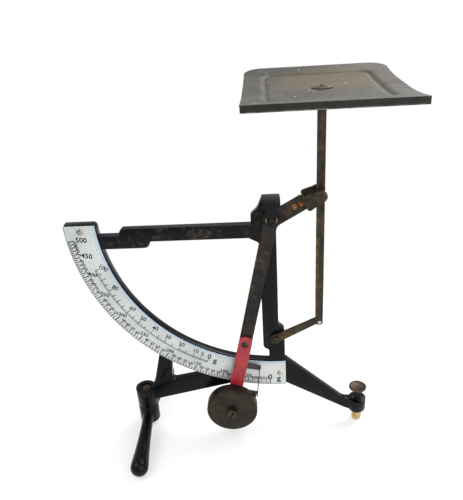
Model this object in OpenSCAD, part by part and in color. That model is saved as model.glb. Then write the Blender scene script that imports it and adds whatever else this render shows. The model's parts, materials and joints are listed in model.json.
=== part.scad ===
// Quadrant letter balance: a cast frame carries a bell-crank beam on one pivot pin.
// The beam's short arm holds the stem and its pan, its long arm swings the weight
// past a curved scale plate, and a guide link keeps the stem upright.
// The lengths below are measured from the main pivot, +X towards the pan, +Z up,
// and -Y towards the reader. The whole model is then moved so that the origin is
// the middle of the levelling foot's base.

/* [Overall] */
// Height of the main pivot above the table
pivot_h = 190.6; // [175:0.2:240]
// Running clearance round every turning pin
run_gap = 0.05; // [0.02:0.01:0.1]
// Clear gap between faces that pass each other
face_gap = 0.4; // [0.3:0.1:0.8]

/* [Scale plate] */
// Radius of the plate's outer edge
scale_r = 150; // [140:1:180]
// Width of the plate along a radius
plate_w = 23.2; // [19:0.2:26]
// Thickness of the plate
plate_t = 0.8; // [0.5:0.1:1.2]
// Drop of the plate's upper end below the pivot
plate_top = 2.2; // [1:0.2:6]
// Reach of the plate's lower end to the right of the pivot
plate_right = 8; // [6:0.5:10]
// Radius of the dome head of a plate rivet
rivet_head_r = 2.6; // [2:0.1:3.2]
// Radius of the shank of a plate rivet
rivet_r = 1.3; // [1:0.1:1.6]
// Distance of the plate rivets from the plate's ends
rivet_inset = 4.4; // [4:0.1:6]

/* [Frame] */
// Thickness of the casting
frame_t = 6; // [5:0.2:8]
// Width of the rim that shows inside the plate
rim_w = 0.8; // [0.5:0.1:2]
// Width of the column
column_w = 12.3; // [11:0.1:14]
// Reach of the column to the right of the pivot
column_right = 3.1; // [3:0.1:3.6]
// Height of the horizontal arm
arm_h = 10.3; // [8:0.1:12]
// Drop of the arm's top edge below the pivot
arm_drop = 6.3; // [6:0.1:7]
// Further drop of the arm's outer end
arm_step = 5; // [3:0.2:6]
// Width of the head that bridges the beam
head_w = 12.6; // [12:0.2:14]
// Height of the head above the pivot
head_h = 14.2; // [13:0.2:16]
// Thickness of the bridge over the beam
bridge_t = 3.2; // [3:0.1:3.6]
// Thickness of the tongue in front of the beam
tongue_t = 2.4; // [2:0.1:3]
// Width of the strut below the scale
strut_w = 10; // [8:0.5:12]
// Width of the brace from the hub to the scale
brace_w = 14; // [12:0.5:15]

/* [Beam] */
// Thickness of the beam plate
beam_t = 2.4; // [2:0.1:2.8]
// Width of the pendulum arm
pendulum_w = 10; // [9:0.2:11]
// Length of the pendulum arm from the pivot
pendulum_len = 117; // [110:1:122]
// Lean of the pendulum arm from straight down when the balance is unloaded
pendulum_lean = 12.5; // [10:0.2:13]
// Width of the short arm
short_arm_w = 11; // [10:0.2:12]
// Radius of the main pivot pin
pivot_r = 1.5; // [1.2:0.1:1.8]
// Outer radius of the brass pivot bush
bush_r = 4.2; // [3.6:0.1:4.6]

/* [Linkage] */
// Stem pivot, distance to the right of the main pivot
stem_pivot_x = 33.4; // [32:0.2:38]
// Stem pivot, height above the main pivot
stem_pivot_z = 17.5; // [16:0.5:19]
// Link pivot, distance to the right of the main pivot
link_pivot_x = 0.6; // [-0.4:0.2:1.4]
// Link pivot, depth below the main pivot
link_pivot_z = 104; // [102:0.5:105]
// Radius of the linkage pins
link_pin_r = 1.5; // [1.2:0.1:1.8]
// Radial play at the stem's lower pin
open_play = 0.25; // [0.2:0.05:0.3]
// Width of the guide link
link_w = 7; // [6:0.5:8]
// Thickness of the guide link
link_t = 2; // [1.5:0.1:2.2]
// Clear width between the ears of the fork
fork_gap = 13; // [11:0.5:14]
// Thickness of the fork's ears
fork_t = 1.5; // [1.2:0.1:2]

/* [Stem and pan] */
// Width of the stem
stem_w = 5.6; // [5:0.1:6]
// Thickness of the stem
stem_t = 3; // [2.4:0.1:3.4]
// Pan size from left to right
pan_w = 99; // [90:1:125]
// Pan size from front to back
pan_d = 122; // [110:1:150]
// Thickness of the pan's sheet
pan_t = 0.9; // [0.8:0.1:1.2]
// Height of the pan's floor above the main pivot
pan_h = 87.4; // [75:0.2:106]
// Rise of the pan's front and back edges
pan_sag = 3.6; // [2:0.2:6]
// Depth of the turned-down front and back edges
pan_lip = 4.6; // [3:0.2:6]
// Radius of the pan's back corners
pan_corner = 12; // [6:1:18]
// Width of the pressed panel
panel_w = 71; // [60:1:80]
// Length of the pressed panel
panel_d = 86; // [70:1:96]
// Radius of the washer on the pan
washer_r = 6.6; // [5:0.2:8]

/* [Weight and pointer] */
// Radius of the weight
weight_r = 20.5; // [18:0.1:22]
// Thickness of the weight
weight_t = 9.2; // [7:0.1:12]
// Distance of the weight's centre from the main pivot
weight_dist = 168.9; // [166:0.2:178]
// Width of the red pointer
pointer_w = 10.6; // [10:0.2:12]
// Thickness of the pointer
pointer_t = 1; // [0.8:0.1:1.2]
// Thickness of the carrier behind the pointer
carrier_t = 1.2; // [1:0.1:1.6]
// Angle from straight down to the reading edge of the outer scale
index_angle = 5.7; // [5:0.1:6.4]
// Radius of the screw that clamps the weight
weight_screw_r = 2.5; // [2:0.1:3]

/* [Feet] */
// Distance of the levelling screw to the right of the main pivot
level_x = 67; // [64:0.5:85]
// Distance of the swivel foot's axis to the left of the main pivot
hub_x = 109.9; // [108:0.5:114]
// Radius of the frame's hub
hub_r = 8.3; // [7.5:0.1:9]
// Reach of each leg of the swivel foot from its axis
leg_reach = 64.5; // [54:0.5:78]
// Turn of the front leg towards the levelling foot
front_turn = 1.6; // [0:0.2:6]
// Turn of the rear leg towards the levelling foot
rear_turn = 6; // [0:0.5:8]
// Radius of the rounded end of a leg
leg_end_r = 7; // [6:0.2:8]
// Radius of the swivel pin
swivel_r = 2.5; // [2:0.1:3]
// Radius of the levelling screw
level_r = 2.2; // [1.8:0.1:2.6]
// Radius of the thumb head
thumb_r = 7; // [5.8:0.1:8.4]
// Height of the levelling foot
pad_h = 8.8; // [7.4:0.2:9]

/* [Hidden] */
$fn = 48;

// depths of the layers, from the table side to the reader
plate_y = 0;                                   // front face of the scale plate
frame_y = plate_t;                             // front face of the casting
frame_mid = frame_y + frame_t / 2;
link_y = frame_y - face_gap - link_t;          // front face of the link
stem_y = link_y - face_gap - stem_t;           // front face of the stem
swing_mid = stem_y + stem_t / 2;               // middle plane of stem, beam and pan
beam_y = swing_mid - beam_t / 2;               // front face of the beam
pointer_y = beam_y - pointer_t;                // front face of the pointer
weight_y = pointer_y - weight_t;               // front face of the weight
tongue_y = beam_y - 2 - tongue_t;              // front face of the tongue

// scale
ring_in = scale_r - plate_w - rim_w;
ring_out = scale_r - 0.7;
rivet_dist = scale_r - plate_w / 2;
rivet_left = [-sqrt(rivet_dist^2 - (plate_top + rivet_inset)^2), -plate_top - rivet_inset];
rivet_right = [plate_right - rivet_inset,
               -sqrt(rivet_dist^2 - (plate_right - rivet_inset)^2)];

// frame levels
column_left = column_right - column_w;
arm_low = -arm_drop - arm_h;
head_left = -head_w / 2;
hub_top = -pivot_h + 37;
hub_low = -pivot_h + 21.2;
boss_r = 7;
boss_top = -pivot_h + 22.1;
boss_low = -pivot_h + 11.4;
strut_bend = [-hub_x + hub_r + 2.9, hub_top + 11.5];
brace_slope = 12.7;

// beam
fork_reach = sqrt(stem_pivot_x^2 + stem_pivot_z^2);
fork_angle = atan2(stem_pivot_z, stem_pivot_x);
web_dist = 12.2;
short_arm_len = fork_reach - web_dist - 0.2;
short_arm_low = 1.2;
ear_r = 4.2;
ear_w = 11.6;
tab_len = 9;
fork_rivet_at = [fork_reach - web_dist - 2.6, fork_reach - web_dist - 7.4];

// linkage
guide_x = stem_pivot_x + link_pivot_x;
guide_z = stem_pivot_z - link_pivot_z;
stem_x = (stem_pivot_x + guide_x) / 2;
link_len = fork_reach;

// stem and pan
collar_t = 2.4;
collar_r = 7.2;
tenon_r = 2;
washer_t = 1;
panel_drop = 0.6;
stem_low = guide_z + 2.2;
stem_top = pan_h - panel_drop - pan_t - collar_t;

// pointer and carrier, measured along the pendulum
pointer_top = 101;
pointer_low = weight_dist + 5;
carrier_low = weight_dist + 8;
window_top = 131.4;
window_low = 153.5;
blade_t = 0.8;
blade_r = 0.35;
pin_head_t = 1.4;

// feet
foot_top = hub_low - 0.3;
foot_low = -pivot_h + 4;
leg_root_z = -pivot_h + 11.5;
leg_end_z = -pivot_h + leg_end_r - 0.8;
pad_r = 3.8;
thumb_z = -pivot_h + 33.4;

// an upright plate: an outline in X and Z, thick from y to y + t
module plate(y, t) {
    translate([0, y + t, 0]) rotate([90, 0, 0]) linear_extrude(t) children();
}
// a pin along Y from y0 to y1
module pin(x, z, r, y0, y1) {
    translate([x, y0, z]) rotate([-90, 0, 0]) cylinder(r = r, h = y1 - y0);
}
// an upright pin from z0 to z1
module post(x, y, r, z0, z1) {
    translate([x, y, z0]) cylinder(r = r, h = z1 - z0);
}
// a rivet or screw head, domed towards the reader, with its rim at y
module dome(x, z, r, h, y) {
    ball = (r^2 + h^2) / (2 * h);
    translate([x, y, z]) rotate([90, 0, 0]) intersection() {
        translate([0, 0, h - ball]) sphere(r = ball, $fn = 64);
        cylinder(r = r + 1, h = h + 1);
    }
}
// the points of an outline [x, z, corner radius] with its corners rounded
function corner(a, p, b) =
    let (u = (a - p) / norm(a - p), v = (b - p) / norm(b - p)) [u, v, acos(u * v) / 2];
function rounded(pts, steps = 6) = [
    for (i = [0 : len(pts) - 1])
        let (n = len(pts), p = [pts[i][0], pts[i][1]], r = pts[i][2],
             q = pts[(i + n - 1) % n], s = pts[(i + 1) % n],
             c = corner([q[0], q[1]], p, [s[0], s[1]]), half = c[2],
             mid = p + r / sin(half) * (c[0] + c[1]) / norm(c[0] + c[1]),
             t0 = p + c[0] * r / tan(half), t1 = p + c[1] * r / tan(half),
             a0 = atan2(t0[1] - mid[1], t0[0] - mid[0]),
             a1 = atan2(t1[1] - mid[1], t1[0] - mid[0]),
             turn = (a1 - a0 + 540) % 360 - 180)
            if (r == 0) p
            else each [for (k = [0 : steps])
                mid + r * [cos(a0 + turn * k / steps), sin(a0 + turn * k / steps)]]
];
// moves the model from the main pivot to the levelling foot's base
module placed() {
    translate([-level_x, -frame_mid, pivot_h]) children();
}
// turns children from straight down to the pendulum's lean
module along_pendulum() {
    rotate([0, pendulum_lean, 0]) children();
}
// turns children from +X to the short arm's direction
module along_short_arm() {
    rotate([0, -fork_angle, 0]) children();
}
// a flat ring between two radii, cut by a level top and an upright right side
module quadrant(r0, r1, y, t, top, right) {
    intersection() {
        difference() {
            pin(0, 0, r1, y, y + t, $fn = 180);
            pin(0, 0, r0, y - 1, y + t + 1, $fn = 180);
        }
        translate([-scale_r - 5, y - 1, -scale_r - 5])
            cube([scale_r + 5 + right, t + 2, scale_r + 5 - top]);
    }
}

module frame_plate() {
    // arm: an inner bar, and an outer bar one step lower
    plate(frame_y, frame_t) polygon(rounded([
        [column_left + 1, arm_low, 0], [column_left + 1, -arm_drop, 0],
        [-hub_x, -arm_drop, 3], [-hub_x, arm_low, 0]]));
    plate(frame_y, frame_t) polygon(rounded([
        [-ring_in - 1.5, -arm_drop - arm_step, 0], [-hub_x + 4, -arm_drop - arm_step, 0],
        [-hub_x + 21.5, -arm_drop - arm_step, 0],
        [-hub_x + 21.5, arm_low - arm_step, 4.5], [-ring_in - 1.5, arm_low - arm_step, 0]]));
    // column, head and the fillet below the arm
    plate(frame_y, frame_t) polygon(rounded([
        [head_left, head_h, 1], [-head_left, head_h, 1], [-head_left, -2, 6],
        [column_right, -10, 6], [column_right, -92.5, 2.5], [plate_right - 0.3, -96.5, 3.5],
        [plate_right - 0.3, -ring_in - 4, 0], [column_left + 4.3, -ring_in - 4, 0],
        [column_left + 4.3, -115.5, 2], [column_left, -113, 4], [column_left, -20.5, 4],
        [column_left - 8, arm_low + 0.1, 4], [column_left - 8, -arm_drop - 1, 0],
        [column_left - 5.4, -arm_drop - 1, 0], [column_left - 5.4, 0.8, 1],
        [head_left - 3.6, 5.4, 9]]));
    // right leg
    plate(frame_y, frame_t) polygon(rounded([
        [plate_right - 3, -ring_in, 0], [plate_right + 1, -ring_in, 1],
        [level_x - 11, boss_top - 0.2, 9], [level_x, boss_top + 0.6, 0],
        [level_x, boss_low - 0.2, 0], [level_x - 9, boss_low + 1.6, 12],
        [plate_right, -scale_r + 1.4, 2], [plate_right - 3, -scale_r + 1.4, 0]]));
    // strut and brace
    plate(frame_y, frame_t) polygon(rounded([
        [strut_bend[0] + 5.5, -ring_in + 10, 0], [strut_bend[0] + 5.5 + strut_w, -ring_in + 6, 0],
        [strut_bend[0] + 12.6, strut_bend[1] - 3, 3],
        [strut_bend[0] + 62, strut_bend[1] - 3 + 49.4 * tan(brace_slope), 0],
        [strut_bend[0] + 62, strut_bend[1] - 3 - brace_w / cos(brace_slope) + 49.4 * tan(brace_slope), 0],
        [-hub_x + hub_r - 2, hub_low + 4.6, 0],
        [-hub_x + hub_r - 3, hub_top - 0.5, 0], [strut_bend[0] - 1.4, strut_bend[1] - 2, 4]]));
}

module frame() color("#14161c") placed() difference() {
    union() {
        difference() {
            quadrant(ring_in, ring_out, frame_y, frame_t, plate_top - 0.8, plate_right + 1);
            // the upper end's inner corner is rounded
            difference() {
                translate([-ring_in - 3, frame_y - 1, 0.8 - plate_top - 3]) cube([4, frame_t + 2, 4]);
                pin(-ring_in - 3, 0.8 - plate_top - 3, 3, frame_y - 2, frame_y + frame_t + 2);
            }
        }
        frame_plate();
        // bridge over the beam, and the tongue that carries the pin's front end
        translate([head_left, tongue_y, head_h - bridge_t])
            cube([head_w, frame_y - tongue_y + 1, bridge_t]);
        plate(tongue_y, tongue_t) polygon(rounded([
            [head_left, head_h, 0], [-head_left, head_h, 0], [-head_left, head_h - 4, 0],
            [4.6, 9.4, 1], [2.9, -3.9, 2.2], [-2.9, -3.9, 2.2], [-4.6, 9.4, 1],
            [head_left, head_h - 4, 0]]));
        // hub and levelling boss
        post(-hub_x, frame_mid, hub_r, hub_low, hub_top);
        post(level_x, frame_mid, boss_r, boss_low, boss_top);
    }
    pin(0, 0, pivot_r, tongue_y - 1, frame_y + frame_t + 1);
    pin(link_pivot_x, -link_pivot_z, link_pin_r, frame_y - 1, frame_y + frame_t + 1);
    for (at = [rivet_left, rivet_right]) pin(at[0], at[1], rivet_r, frame_y - 1, frame_y + 4);
    post(-hub_x, frame_mid, swivel_r, hub_low - 1, hub_top + 1);
    post(-hub_x, frame_mid, swivel_r + 2.2, hub_top - 1.4, hub_top + 1);
    post(level_x, frame_mid, level_r + run_gap, boss_low - 1, boss_top + 1);
}

module scale_plate() color("#d3d5d2") placed() difference() {
    quadrant(scale_r - plate_w, scale_r, plate_y, plate_t, plate_top, plate_right);
    for (at = [rivet_left, rivet_right]) pin(at[0], at[1], rivet_r, -1, plate_t + 1);
}

module plate_rivets() color("#c9cac6") placed() for (at = [rivet_left, rivet_right]) {
    dome(at[0], at[1], rivet_head_r, 1.1, plate_y);
    pin(at[0], at[1], rivet_r, plate_y - 0.2, frame_y + 4);
}

module pivot_pin() color("#8a8478") placed()
    pin(0, 0, pivot_r, tongue_y + 0.2, frame_y + frame_t + 0.6);

module pivot_bush() color("#a7813b") placed() difference() {
    pin(0, 0, bush_r, tongue_y + tongue_t + 0.3, frame_y - 0.3);
    pin(0, 0, pivot_r + run_gap, tongue_y, frame_y + 1);
}

// where the line through p along u meets the line through q along v
function meet(p, u, q, v) =
    p + u * ((q[0] - p[0]) * v[1] - (q[1] - p[1]) * v[0]) / (u[0] * v[1] - u[1] * v[0]);
pendulum_dir = [-sin(pendulum_lean), -cos(pendulum_lean)];
pendulum_side = [cos(pendulum_lean), -sin(pendulum_lean)] * pendulum_w / 2;
arm_dir = [cos(fork_angle), sin(fork_angle)];
arm_side = [sin(fork_angle), -cos(fork_angle)];
arm_end_low = arm_dir * short_arm_len + arm_side * short_arm_w / 2;
arm_root_low = arm_side * (short_arm_w / 2 + short_arm_low);
elbow = meet(pendulum_side, pendulum_dir, arm_end_low, arm_end_low - arm_root_low);
arm_root_high = -arm_side * (short_arm_w / 2 - short_arm_low);
arm_end_high = arm_dir * short_arm_len - arm_side * short_arm_w / 2;
pendulum_foot = pendulum_dir * pendulum_len;

module beam() color("#3a3428") placed() difference() {
    union() {
        pin(0, 0, pendulum_w / 2 + 1, beam_y, beam_y + beam_t);
        plate(beam_y, beam_t) polygon(rounded([
            [arm_end_high[0], arm_end_high[1], 0], [arm_end_low[0], arm_end_low[1], 0],
            [elbow[0], elbow[1], 5],
            [pendulum_foot[0] + pendulum_side[0], pendulum_foot[1] + pendulum_side[1], 2],
            [pendulum_foot[0] - pendulum_side[0], pendulum_foot[1] - pendulum_side[1], 2],
            [-pendulum_side[0], -pendulum_side[1], 0], [arm_root_high[0], arm_root_high[1], 0]]));
    }
    pin(0, 0, bush_r, beam_y - 1, beam_y + beam_t + 1);
    along_short_arm() for (x = fork_rivet_at) pin(x, 0, rivet_r, beam_y - 1, beam_y + beam_t + 1);
    along_pendulum() pin(0, -pointer_top - 7.3, rivet_r, beam_y - 1, beam_y + beam_t + 1);
}

// the ear's outline, from the web to the round end at the pin
module ear(y) {
    plate(y, fork_t) polygon(rounded([
        [fork_reach - web_dist, -ear_w / 2, 2], [fork_reach - web_dist, ear_w / 2, 2],
        [fork_reach - 3, ear_r, 4], [fork_reach + ear_r, ear_r, ear_r - 0.01],
        [fork_reach + ear_r, -ear_r, ear_r - 0.01], [fork_reach - 3, -ear_r, 4]]));
}

module fork() color("#4a3f2c") placed() difference() {
    along_short_arm() union() {
        ear(swing_mid - fork_gap / 2 - fork_t);
        ear(swing_mid + fork_gap / 2);
        translate([fork_reach - web_dist, swing_mid - fork_gap / 2 - fork_t, 2 - ear_w / 2])
            cube([fork_t, fork_gap + 2 * fork_t, ear_w - 4]);
        // tab behind the short arm
        translate([fork_reach - web_dist - tab_len, beam_y + beam_t, -4.2])
            cube([tab_len + fork_t, fork_t, 8.4]);
    }
    pin(stem_pivot_x, stem_pivot_z, link_pin_r, -20, 20);
    along_short_arm() for (x = fork_rivet_at) pin(x, 0, rivet_r, beam_y - 1, beam_y + 8);
}

module fork_rivets() color("#8c5f45") placed() along_short_arm() for (x = fork_rivet_at) {
    dome(x, 0, 2.1, 0.7, beam_y);
    pin(x, 0, rivet_r, beam_y - 0.2, beam_y + beam_t + fork_t + 0.4);
}

module fork_pin() color("#8f8b84") placed()
    pin(stem_pivot_x, stem_pivot_z, link_pin_r,
        swing_mid - fork_gap / 2 - fork_t - 0.5, swing_mid + fork_gap / 2 + fork_t + 0.5);

module stem() color("#4b3e28") placed() difference() {
    union() {
        plate(stem_y, stem_t) polygon(rounded([
            [stem_x - stem_w / 2, stem_low - 4.6, 2], [stem_x + stem_w / 2, stem_low - 4.6, 2],
            [stem_x + stem_w / 2, stem_top, 0], [stem_x - stem_w / 2, stem_top, 0]]));
        post(stem_x, swing_mid, tenon_r - 0.6, stem_top - 1, pan_h - panel_drop + washer_t + 0.5);
    }
    pin(stem_pivot_x, stem_pivot_z, link_pin_r + run_gap, stem_y - 1, stem_y + stem_t + 1);
    pin(guide_x, guide_z, link_pin_r, stem_y - 1, stem_y + stem_t + 1);
}

module guide_pin() color("#c4c4c2") placed()
    pin(guide_x, guide_z, link_pin_r, stem_y - 0.5, link_y + link_t + 0.1);

module pan_collar() color("#6c5a34") placed() difference() {
    post(stem_x, swing_mid, collar_r, stem_top, stem_top + collar_t);
    post(stem_x, swing_mid, tenon_r - 0.6, stem_top - 1, pan_h + 1);
}

// height of the pan's upper face above its floor, at a distance from its middle
function sag_at(y) = pan_sag * pow(max(0, abs(2 * y / pan_d) - 0.249) / 0.751, 1.8);
pan_steps = 24;
// the pan's section from front to back, lowered by drop
module pan_section(half, drop) {
    ys = [for (k = [0 : pan_steps]) -half + 2 * half * k / pan_steps];
    plate_pts = concat(
        [for (y = ys) [y, sag_at(y) - drop]],
        [for (k = [pan_steps : -1 : 0]) [ys[k], sag_at(ys[k]) - drop - pan_t]]);
    rotate([90, 0, 90]) translate([0, 0, -pan_w / 2]) linear_extrude(pan_w) polygon(plate_pts);
}
// a block with an outline in X and Y, from z0 to z1
module pan_block(pts, z0, z1) {
    translate([0, 0, z0]) linear_extrude(z1 - z0) polygon(rounded(pts));
}
module pan() color("#6c675e") placed() translate([stem_x, swing_mid, pan_h]) difference() {
    union() {
        intersection() {
            union() {
                difference() {
                    pan_section(pan_d / 2, 0);
                    cube([panel_w, panel_d, 40], center = true);
                }
                // turned-down edges at the front and the back
                for (side = [-1, 1])
                    translate([-pan_w / 2, side * pan_d / 2 - (side > 0 ? pan_t : 0), pan_sag - pan_lip])
                        cube([pan_w, pan_t, pan_lip - 0.05]);
            }
            pan_block([
                [-pan_w / 2, -pan_d / 2, 2], [pan_w / 2, -pan_d / 2, 2],
                [pan_w / 2, pan_d / 2, pan_corner], [-pan_w / 2, pan_d / 2, pan_corner]], -20, 20);
        }
        intersection() {
            pan_section(panel_d / 2 + pan_t, panel_drop);
            cube([panel_w + 2 * pan_t, panel_d + 2 * pan_t, 40], center = true);
        }
    }
    post(0, 0, tenon_r - 0.6, -10, 10);
}

module pan_washer() color("#7d7668") placed()
    translate([stem_x, swing_mid, pan_h - panel_drop]) difference() {
        union() {
            cylinder(r = washer_r, h = washer_t * 0.6);
            cylinder(r = washer_r * 0.62, h = washer_t);
        }
        cylinder(r = tenon_r - 0.6, h = 10, center = true);
    }

module link() color("#4d4029") placed() translate([link_pivot_x, 0, -link_pivot_z]) difference() {
    rotate([0, -fork_angle, 0]) union() {
        pin(0, 0, link_w / 2 + 0.6, link_y, link_y + link_t);
        plate(link_y, link_t) polygon([
            [0, -link_w / 2], [link_len, 1 - link_w / 2],
            [link_len, link_w / 2 - 1], [0, link_w / 2]]);
        pin(link_len, 0, link_w / 2 - 1, link_y, link_y + link_t);
    }
    pin(0, 0, link_pin_r + run_gap, link_y - 1, link_y + link_t + 1);
    rotate([0, -fork_angle, 0])
        pin(link_len, 0, link_pin_r + open_play, link_y - 1, link_y + link_t + 1);
}

module link_screw() color("#2b2620") placed() difference() {
    union() {
        pin(link_pivot_x, -link_pivot_z, link_pin_r, link_y - 0.3, frame_y + frame_t);
        pin(link_pivot_x, -link_pivot_z, 2.5, link_y - 0.3 - pin_head_t, link_y - 0.3);
    }
    translate([link_pivot_x - 4, link_y - 0.8 - pin_head_t, -link_pivot_z - 0.35])
        cube([8, 1.1, 0.7]);
}

module pointer() color("#9c1d27") placed() along_pendulum() difference() {
    plate(pointer_y, pointer_t) polygon(rounded([
        [-pointer_w / 2, -pointer_top, 4.4], [pointer_w / 2, -pointer_top, 4.4],
        [pointer_w / 2, -pointer_low, 1], [-pointer_w / 2, -pointer_low, 1]]));
    pin(0, -pointer_top - 7.3, rivet_r, pointer_y - 1, pointer_y + 3);
    pin(0, -weight_dist, weight_screw_r, pointer_y - 1, pointer_y + 3);
}

module pointer_screw() color("#2a2522") placed() along_pendulum() difference() {
    union() {
        dome(0, -pointer_top - 7.3, 3, 1.4, pointer_y);
        pin(0, -pointer_top - 7.3, rivet_r, pointer_y - 0.2, beam_y + beam_t + 0.6);
    }
    translate([-4, pointer_y - 2, -pointer_top - 7.65]) cube([8, 1.1, 0.7]);
}

// angle from the pendulum to the reading edge
blade_turn = index_angle - pendulum_lean;
blade_x = function (r) -r * sin(blade_turn);
module carrier() color("#191715") placed() along_pendulum() difference() {
    plate(pointer_y + pointer_t, carrier_t) polygon(rounded([
        [-pointer_w / 2 + 0.6, -pendulum_len - 1, 0], [pointer_w / 2 - 1, -pendulum_len - 1, 0],
        [pointer_w / 2 - 1, -window_top + 5.4, 0],
        [blade_x(window_top) + 0.8, -window_top + 4.4, 1],
        [blade_x(window_top) + 0.8, -window_top, 0], [pointer_w / 2 - 1, -window_top, 0],
        [pointer_w / 2 - 1, -window_low, 0], [blade_x(window_low) + 0.2, -window_low, 0],
        [blade_x(window_low) - 0.6, -window_low - 11, 1], [pointer_w / 2, -carrier_low, 3],
        [-pointer_w / 2 + 0.6, -carrier_low, 3]]));
    pin(0, -weight_dist, weight_screw_r, pointer_y - 1, pointer_y + 5);
}

module index_blade() color("#8d2a2a") placed() rotate([0, index_angle, 0])
    translate([-blade_r, pointer_y + pointer_t - blade_t, -window_low - 6])
        cube([2 * blade_r, blade_t, window_low - window_top + 8]);

module weight() color("#34302a") placed() along_pendulum() difference() {
    union() {
        pin(0, -weight_dist, weight_r, weight_y + 0.7, pointer_y, $fn = 96);
        pin(0, -weight_dist, weight_r - 0.7, weight_y, weight_y + 1, $fn = 96);
    }
    pin(0, -weight_dist, weight_screw_r, weight_y - 1, pointer_y + 1);
}

module weight_screw() color("#6b4a2f") placed() along_pendulum() difference() {
    union() {
        pin(0, -weight_dist, weight_screw_r, weight_y - 0.2, pointer_y + pointer_t + carrier_t + 3.2);
        pin(0, -weight_dist, weight_screw_r + 1.3, weight_y - 4.6, weight_y);
    }
    translate([-0.6, weight_y - 5, -weight_dist - 6]) cube([1.2, 1.8, 12]);
}

module weight_nut() color("#6b5a3a") placed() along_pendulum() difference() {
    translate([0, pointer_y + pointer_t + carrier_t, -weight_dist]) rotate([-90, 0, 0])
        cylinder(r = 4.6, h = 2.4, $fn = 6);
    pin(0, -weight_dist, weight_screw_r, pointer_y, pointer_y + 9);
}

module swivel_pin() color("#a9a49a") placed() {
    post(-hub_x, frame_mid, swivel_r, foot_low + 1.6, hub_top - 0.6);
    post(-hub_x, frame_mid, swivel_r + 0.8, hub_top - 1.4, hub_top - 0.6);
}

// one leg: a club that widens to its rounded end, lying along +Y before it is turned
module leg() {
    drop = leg_root_z - leg_end_z;
    run = leg_reach - leg_end_r;
    root_r = 4.5;
    translate([0, 0, leg_root_z]) rotate([-90 - atan2(drop, run), 0, 0]) rotate_extrude() intersection() {
        union() {
            polygon([[0, 0], [root_r, 0], [root_r + 0.1, run * 0.3], [root_r + 0.6, run * 0.55],
                     [root_r + 1.4, run * 0.78], [leg_end_r - 0.2, run * 0.93], [leg_end_r, run], [0, run]]);
            translate([0, run]) circle(r = leg_end_r);
        }
        translate([0, -1]) square([leg_end_r + 1, run + 2 * leg_end_r]);
    }
}

module swivel_foot() color("#14161c") placed()
    translate([-hub_x, frame_mid, 0]) difference() {
        union() {
            translate([0, 0, foot_low]) cylinder(r = hub_r, h = foot_top - foot_low);
            for (turn = [180 + front_turn, -rear_turn]) rotate([0, 0, turn]) leg();
        }
        translate([0, 0, foot_low - 1]) cylinder(r = swivel_r + run_gap, h = 30);
        translate([0, 0, foot_low - 5]) cylinder(r = swivel_r + 1, h = 5 + 0.6);
        translate([-90, -90, -pivot_h - 20]) cube([180, 180, 20]);
    }

module levelling_foot() color("#b59a62") placed() translate([level_x, frame_mid, -pivot_h])
    difference() {
        union() {
            cylinder(r = pad_r - 0.5, h = pad_h);
            translate([0, 0, 1]) cylinder(r = pad_r, h = pad_h - 2);
        }
        translate([0, 0, 1.4]) cylinder(r = level_r + run_gap, h = pad_h);
    }

module levelling_screw() color("#4f4a42") placed() translate([level_x, frame_mid, 0]) {
    translate([0, 0, -pivot_h + 1.5]) cylinder(r = level_r, h = thumb_z + pivot_h - 2);
    translate([0, 0, thumb_z]) rotate_extrude() polygon([
        [0, -5], [level_r + 0.3, -5], [level_r + 0.6, -2.6], [thumb_r - 1.4, -1.5], [thumb_r, -0.9],
        [thumb_r, 0.2], [thumb_r - 0.6, 0.5], [thumb_r - 1.4, 0], [0, -0.5]]);
}

frame();
scale_plate();
plate_rivets();
pivot_pin();
pivot_bush();
beam();
fork();
fork_rivets();
fork_pin();
stem();
guide_pin();
pan_collar();
pan();
pan_washer();
link();
link_screw();
pointer();
pointer_screw();
carrier();
index_blade();
weight();
weight_screw();
weight_nut();
swivel_pin();
swivel_foot();
levelling_foot();
levelling_screw();
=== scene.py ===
import json
import math
from collections import Counter

import bpy
from mathutils import Matrix, Vector


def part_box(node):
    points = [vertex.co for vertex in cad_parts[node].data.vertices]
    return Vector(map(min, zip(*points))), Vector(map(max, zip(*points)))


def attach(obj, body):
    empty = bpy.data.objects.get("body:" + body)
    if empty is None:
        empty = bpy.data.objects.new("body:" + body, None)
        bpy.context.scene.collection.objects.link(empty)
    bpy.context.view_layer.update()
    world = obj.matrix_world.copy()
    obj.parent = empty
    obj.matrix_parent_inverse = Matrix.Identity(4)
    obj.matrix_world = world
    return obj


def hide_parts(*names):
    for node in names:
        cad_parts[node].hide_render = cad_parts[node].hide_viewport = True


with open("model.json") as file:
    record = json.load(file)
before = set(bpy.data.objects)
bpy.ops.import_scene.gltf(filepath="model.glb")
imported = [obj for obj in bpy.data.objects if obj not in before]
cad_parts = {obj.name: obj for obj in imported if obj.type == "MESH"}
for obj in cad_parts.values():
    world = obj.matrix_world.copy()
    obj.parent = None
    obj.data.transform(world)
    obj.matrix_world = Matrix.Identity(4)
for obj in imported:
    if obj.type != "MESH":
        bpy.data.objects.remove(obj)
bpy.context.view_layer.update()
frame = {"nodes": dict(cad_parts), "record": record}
nodes = frame["nodes"]
print("frame loaded:", len(nodes), "nodes")


# small helpers

def middle(name):
    low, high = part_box(name)
    return (Vector(low) + Vector(high)) / 2


def pivotPoint(jointName):
    for joint in frame["record"]["behaviour"]["joints"]:
        if joint["name"] == jointName:
            return Vector(joint["pos_m"])


axle = pivotPoint("beam_tilt")            # the main pivot that everything is measured from
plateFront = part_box("scale_plate")[0][1]  # front face of the scale plate


def deselectAll():
    for thing in bpy.context.selected_objects:
        thing.select_set(False)


def makeActive(piece):
    deselectAll()
    piece.select_set(True)
    bpy.context.view_layer.objects.active = piece


def editing(piece, mode="EDGE"):
    makeActive(piece)
    bpy.ops.object.mode_set(mode="EDIT")
    bpy.ops.mesh.select_mode(type=mode)
    bpy.ops.mesh.select_all(action="DESELECT")


def doneEditing():
    bpy.ops.object.mode_set(mode="OBJECT")


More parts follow.
